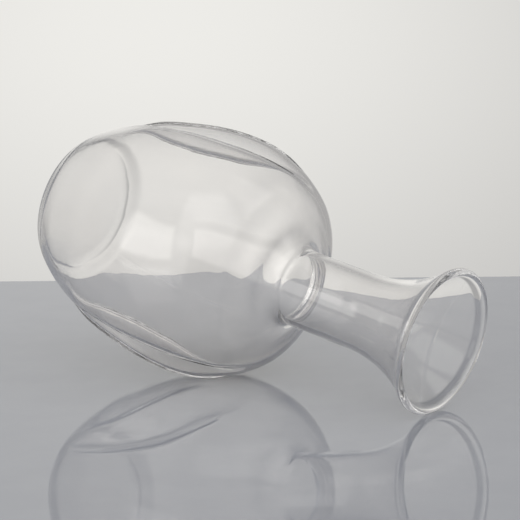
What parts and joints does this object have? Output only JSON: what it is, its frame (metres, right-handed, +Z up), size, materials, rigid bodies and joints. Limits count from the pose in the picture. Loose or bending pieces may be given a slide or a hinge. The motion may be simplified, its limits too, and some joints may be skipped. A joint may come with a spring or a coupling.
{
  "type": "retort flask",
  "caption": "Clear blown glass flask lying on its side: pinched round bulb, flat base, short neck and flared mouth with a polished rim.",
  "frame": {"origin": "middle of the footprint, on the surface that the flask lies on", "axes": "+Z up; +X the way the mouth points, seen from above; +Y across the flask"},
  "size_m": [0.2426, 0.1272, 0.1283],
  "materials": {
    "clear_glass": "clear borosilicate, fire polished"
  },
  "bodies": {
    "root": {"base_disc": "clear_glass", "bulb": "clear_glass", "shoulder_cap": "clear_glass", "neck_seal": "clear_glass", "neck_tube": "clear_glass", "mouth_flare": "clear_glass", "rim_bead": "clear_glass"}
  },
  "joints": []
}
